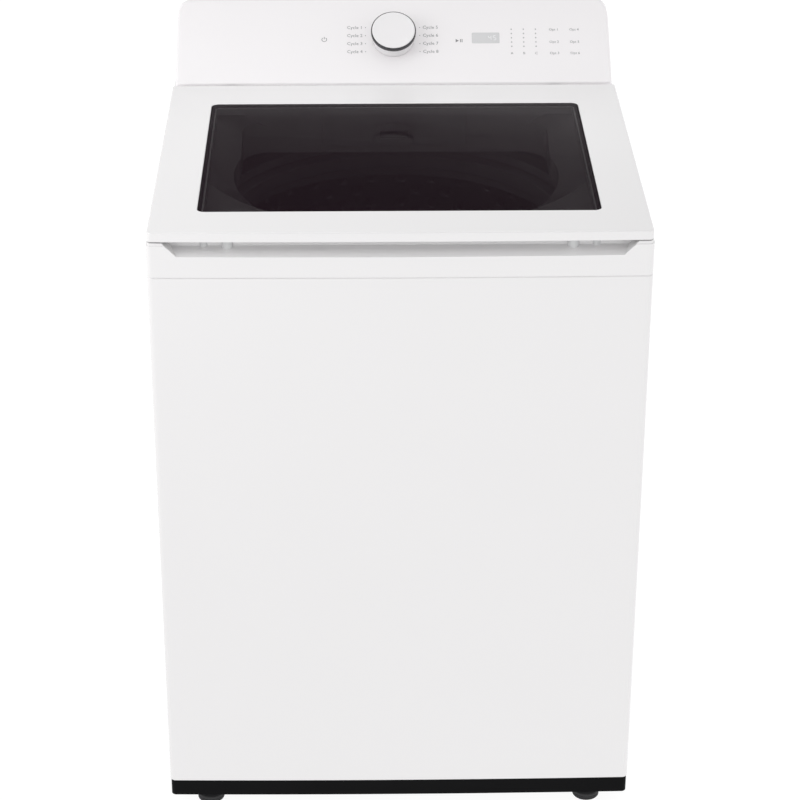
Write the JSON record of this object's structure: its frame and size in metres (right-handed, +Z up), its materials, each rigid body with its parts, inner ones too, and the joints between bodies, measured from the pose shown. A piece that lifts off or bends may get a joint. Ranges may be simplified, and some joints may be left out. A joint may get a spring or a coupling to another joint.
{
  "type": "top load washing machine",
  "caption": "Top load washing machine: white cabinet, glass lid, rear sloped console with a knob, suspended tub, impeller and direct drive.",
  "frame": {"origin": "on the floor, at the middle of the machine's bounding box", "axes": "+Z up, +X to the right seen from the front, +Y towards the back, so the front faces -Y"},
  "size_m": [0.686, 0.721, 1.04],
  "materials": {
    "white_enamel": "smooth satin white enamel on sheet steel",
    "white_gloss": "glossy white moulded plastic",
    "white_matte": "satin off-white moulded plastic",
    "tinted_glass": "smoke tinted tempered glass",
    "black_plastic": "fine grained black plastic",
    "galvanised_steel": "zinc plated sheet steel with a light spangle",
    "stainless_steel": "brushed stainless steel",
    "bright_steel": "ground bright steel",
    "chrome_trim": "polished chrome",
    "tub_plastic": "light grey filled polypropylene",
    "cast_aluminium": "as cast aluminium",
    "rubber": "matt black rubber",
    "copper": "lacquered winding wire",
    "display_grey": "smoke grey display window",
    "circuit_board": "green solder mask"
  },
  "bodies": {
    "cabinet": {"cabinet_wrapper": "white_enamel", "top_cover": "white_enamel", "console_panel": "white_gloss", "console_rear_cover": "white_gloss", "lid_bumpers": "white_matte", "base_frame": "black_plastic", "lid_lock_housing": "black_plastic", "selector_encoder": "black_plastic", "cord_gland": "black_plastic", "rear_panel": "galvanised_steel", "cabinet_screws": "galvanised_steel", "foot_lock_nuts": "galvanised_steel", "corner_brackets": "galvanised_steel", "lid_hinge_brackets": "galvanised_steel", "suspension_rods": "bright_steel", "dispenser_housing": "tub_plastic", "inlet_valve_hot": "tub_plastic", "inlet_valve_cold": "tub_plastic", "pump_body": "tub_plastic", "drain_outlet": "tub_plastic", "drain_hose": "rubber", "inlet_hoses": "rubber", "display_window": "display_grey", "display_board": "circuit_board", "control_board": "circuit_board"},
    "lid": {"lid_frame": "white_enamel", "lid_glass": "tinted_glass", "lid_inner_frame": "white_matte", "lid_hinge_pins": "bright_steel", "lid_strike": "galvanised_steel"},
    "drawer": {"dispenser_drawer": "white_matte", "siphon_caps": "tub_plastic"},
    "knob": {"cycle_knob": "white_gloss", "knob_trim_ring": "chrome_trim"},
    "lock_bolt": {"lid_lock_bolt": "bright_steel"},
    "tub": {"outer_tub": "tub_plastic", "tub_ring": "tub_plastic", "bearing_housing": "cast_aluminium", "shaft_bearings": "bright_steel", "shaft_seal": "rubber", "stator": "galvanised_steel", "stator_coils": "copper", "clutch_actuator": "black_plastic", "suspension_cups": "tub_plastic", "suspension_springs": "bright_steel", "sump_bellows": "rubber"},
    "clutch_arm": {"clutch_lever": "white_matte"},
    "basket": {"wash_basket": "stainless_steel", "balance_ring": "tub_plastic", "basket_hub": "cast_aluminium", "spin_shaft": "bright_steel"},
    "clutch_ring": {"clutch_coupler": "galvanised_steel"},
    "wash_drive": {"impeller": "white_matte", "wash_shaft": "bright_steel", "rotor": "galvanised_steel"},
    "pump_rotor": {"pump_impeller": "black_plastic"},
    "foot_front_left": {"levelling_foot_front_left": "rubber"},
    "foot_front_right": {"levelling_foot_front_right": "rubber"},
    "foot_rear_left": {"levelling_foot_rear_left": "rubber"},
    "foot_rear_right": {"levelling_foot_rear_right": "rubber"}
  },
  "joints": [
    {"name": "lid_hinge", "type": "hinge", "parent": "cabinet", "child": "lid", "pos_m": [0, 0.213, 0.9395], "axis": [-1, 0, 0], "range_deg": [0, 105]},
    {"name": "drawer_slide", "type": "slide", "parent": "cabinet", "child": "drawer", "axis": [0, -1, 0], "range_m": [0, 0.12]},
    {"name": "knob_turn", "type": "hinge", "parent": "cabinet", "child": "knob", "pos_m": [0, 0.28999, 0.99584], "axis": [0, -0.6018, 0.7986], "continuous": true},
    {"name": "lock_bolt_slide", "type": "slide", "parent": "cabinet", "child": "lock_bolt", "axis": [-1, 0, 0], "range_m": [0, 0.01]},
    {"name": "tub_suspension", "type": "slide", "parent": "cabinet", "child": "tub", "axis": [0, 0, 1], "range_m": [-0.03, 0.012], "stiffness_N_per_m": 9000, "springref_m": 0.0447, "deforming": ["suspension_springs", "sump_bellows"]},
    {"name": "basket_spin", "type": "hinge", "parent": "tub", "child": "basket", "pos_m": [0, 0, 0.25], "axis": [0, 0, 1], "continuous": true},
    {"name": "wash_spin", "type": "hinge", "parent": "tub", "child": "wash_drive", "pos_m": [0, 0, 0.25], "axis": [0, 0, 1], "continuous": true},
    {"name": "clutch_shift", "type": "slide", "parent": "basket", "child": "clutch_ring", "axis": [0, 0, -1], "range_m": [0, 0.008], "stiffness_N_per_m": 300, "springref_m": -0.012},
    {"name": "clutch_lever_pivot", "type": "hinge", "parent": "tub", "child": "clutch_arm", "pos_m": [0, 0.112, 0.176], "axis": [1, 0, 0], "range_deg": [0, 5.6]},
    {"name": "pump_spin", "type": "hinge", "parent": "cabinet", "child": "pump_rotor", "pos_m": [0.205, 0.144, 0.1], "axis": [0, 1, 0], "continuous": true},
    {"name": "foot_front_left_height", "type": "slide", "parent": "cabinet", "child": "foot_front_left", "axis": [0, 0, -1], "range_m": [0, 0.015]},
    {"name": "foot_front_right_height", "type": "slide", "parent": "cabinet", "child": "foot_front_right", "axis": [0, 0, -1], "range_m": [0, 0.015]},
    {"name": "foot_rear_left_height", "type": "slide", "parent": "cabinet", "child": "foot_rear_left", "axis": [0, 0, -1], "range_m": [0, 0.015]},
    {"name": "foot_rear_right_height", "type": "slide", "parent": "cabinet", "child": "foot_rear_right", "axis": [0, 0, -1], "range_m": [0, 0.015]}
  ],
  "couplings": [
    {"joint": "clutch_lever_pivot", "follows": "clutch_shift", "rad_per_m": 11.6}
  ]
}
